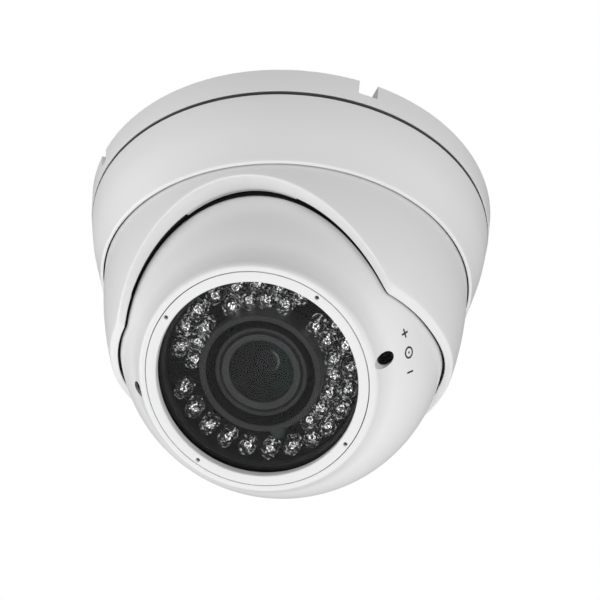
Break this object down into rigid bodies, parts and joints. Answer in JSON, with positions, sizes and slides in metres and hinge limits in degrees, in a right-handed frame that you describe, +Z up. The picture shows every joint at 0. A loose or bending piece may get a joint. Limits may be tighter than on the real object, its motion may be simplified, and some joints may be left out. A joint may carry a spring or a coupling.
{
  "type": "dome cctv camera",
  "caption": "Ceiling-hung infrared eyeball dome security camera: round flanged base, arched swivel collar and a ball with a ringed dark window, lens and lamp circles.",
  "frame": {"origin": "centre of the mounting face, where the base meets the ceiling", "axes": "+Z up through the ceiling; -Y is the front, where the window looks at rest; +X is the side of the focus port; the tilt axis runs along X"},
  "size_m": [0.128, 0.128, 0.0988],
  "materials": {
    "white_paint": "white satin powder coat on the housing shells",
    "dark_plastic": "black moulded plastic",
    "black_rubber": "matt black rubber",
    "natural_nylon": "natural nylon",
    "steel": "plated steel",
    "window_glass": "dark tinted, polished",
    "clear_epoxy": "clear epoxy lamp bodies",
    "circuit_board": "black solder mask on glass-fibre board",
    "lens_black": "black anodised look",
    "lens_glass": "coated optical glass"
  },
  "bodies": {
    "base": {"base_plate": "white_paint", "cover_ring": "white_paint", "cover_seal": "black_rubber", "pan_friction_ring": "natural_nylon", "cable_grommet": "black_rubber", "cover_lock_screw": "steel"},
    "pan": {"pan_collar": "white_paint", "dust_wiper": "black_rubber", "pivot_keeper_left": "steel", "pivot_keeper_right": "steel"},
    "tilt": {"gimbal_ring": "white_paint", "pivot_pin_left": "steel", "pivot_pin_right": "steel"},
    "eyeball": {"front_shell": "white_paint", "window_ring": "white_paint", "ring_screw_1": "steel", "ring_screw_2": "steel", "ring_screw_3": "steel", "ring_screw_4": "steel", "window_glass": "window_glass", "window_gasket": "black_rubber", "led_board": "circuit_board", "outer_leds": "clear_epoxy", "inner_leds": "clear_epoxy", "photocell": "window_glass", "ir_shroud": "black_rubber", "lens_barrel": "lens_black", "lens_mount": "dark_plastic", "sensor_board": "circuit_board", "image_sensor": "window_glass", "chassis_plate": "steel", "rear_shell": "white_paint", "rear_gland": "black_rubber", "main_board": "circuit_board", "focus_idler_post": "steel", "zoom_idler_post": "steel", "focus_adjuster_post": "dark_plastic", "zoom_adjuster_post": "dark_plastic", "led_post_1": "natural_nylon", "led_post_2": "natural_nylon", "led_post_3": "natural_nylon", "board_post_1": "steel", "board_post_2": "steel", "board_post_3": "steel", "board_post_4": "steel"},
    "focus_ring": {"focus_ring": "dark_plastic"},
    "zoom_ring": {"zoom_ring": "dark_plastic"},
    "focus_idler": {"focus_idler": "dark_plastic"},
    "zoom_idler": {"zoom_idler": "dark_plastic"},
    "focus_adjuster": {"focus_adjuster": "dark_plastic"},
    "zoom_adjuster": {"zoom_adjuster": "dark_plastic"},
    "front_group": {"front_lens_cell": "lens_black", "front_lens": "lens_glass"},
    "rear_group": {"rear_lens_cell": "lens_black", "rear_lens": "lens_glass"},
    "filter": {"filter_slider": "steel"}
  },
  "joints": [
    {"name": "pan_turn", "type": "hinge", "parent": "base", "child": "pan", "pos_m": [0, 0, 0], "axis": [0, 0, 1], "range_deg": [-177.5, 177.5]},
    {"name": "tilt_turn", "type": "hinge", "parent": "pan", "child": "tilt", "pos_m": [0, 0, -0.0479], "axis": [-1, 0, 0], "range_deg": [-33.1, 21]},
    {"name": "roll_turn", "type": "hinge", "parent": "tilt", "child": "eyeball", "pos_m": [0, 0, -0.0479], "axis": [0, -0.5461, -0.8377], "range_deg": [-177.5, 177.5]},
    {"name": "focus_turn", "type": "hinge", "parent": "eyeball", "child": "focus_ring", "pos_m": [0, 0, -0.0479], "axis": [0, -0.5461, -0.8377], "range_deg": [-45, 45]},
    {"name": "zoom_turn", "type": "hinge", "parent": "eyeball", "child": "zoom_ring", "pos_m": [0, 0, -0.0479], "axis": [0, -0.5461, -0.8377], "range_deg": [-45, 45]},
    {"name": "focus_idler_turn", "type": "hinge", "parent": "eyeball", "child": "focus_idler", "pos_m": [0.02195, 0, -0.0479], "axis": [0, -0.5461, -0.8377], "range_deg": [-57.5, 57.5]},
    {"name": "zoom_idler_turn", "type": "hinge", "parent": "eyeball", "child": "zoom_idler", "pos_m": [-0.02195, 0, -0.0479], "axis": [0, -0.5461, -0.8377], "range_deg": [-57.5, 57.5]},
    {"name": "focus_adjuster_turn", "type": "hinge", "parent": "eyeball", "child": "focus_adjuster", "pos_m": [0.036, 0, -0.0479], "axis": [0, -0.5461, -0.8377], "range_deg": [-126.5, 126.5]},
    {"name": "zoom_adjuster_turn", "type": "hinge", "parent": "eyeball", "child": "zoom_adjuster", "pos_m": [-0.036, 0, -0.0479], "axis": [0, -0.5461, -0.8377], "range_deg": [-126.5, 126.5]},
    {"name": "focus_travel", "type": "slide", "parent": "eyeball", "child": "front_group", "axis": [0, -0.5461, -0.8377], "range_m": [-0.0012, 0.0012]},
    {"name": "zoom_travel", "type": "slide", "parent": "eyeball", "child": "rear_group", "axis": [0, -0.5461, -0.8377], "range_m": [-0.0015, 0.0015]},
    {"name": "filter_travel", "type": "slide", "parent": "eyeball", "child": "filter", "axis": [1, 0, 0], "range_m": [0, 0.0064]}
  ],
  "couplings": [
    {"joint": "focus_turn", "follows": "focus_travel", "rad_per_m": 650},
    {"joint": "focus_idler_turn", "follows": "focus_travel", "rad_per_m": -827.27},
    {"joint": "focus_adjuster_turn", "follows": "focus_travel", "rad_per_m": 1820},
    {"joint": "zoom_turn", "follows": "zoom_travel", "rad_per_m": -520},
    {"joint": "zoom_idler_turn", "follows": "zoom_travel", "rad_per_m": 661.82},
    {"joint": "zoom_adjuster_turn", "follows": "zoom_travel", "rad_per_m": -1456}
  ]
}
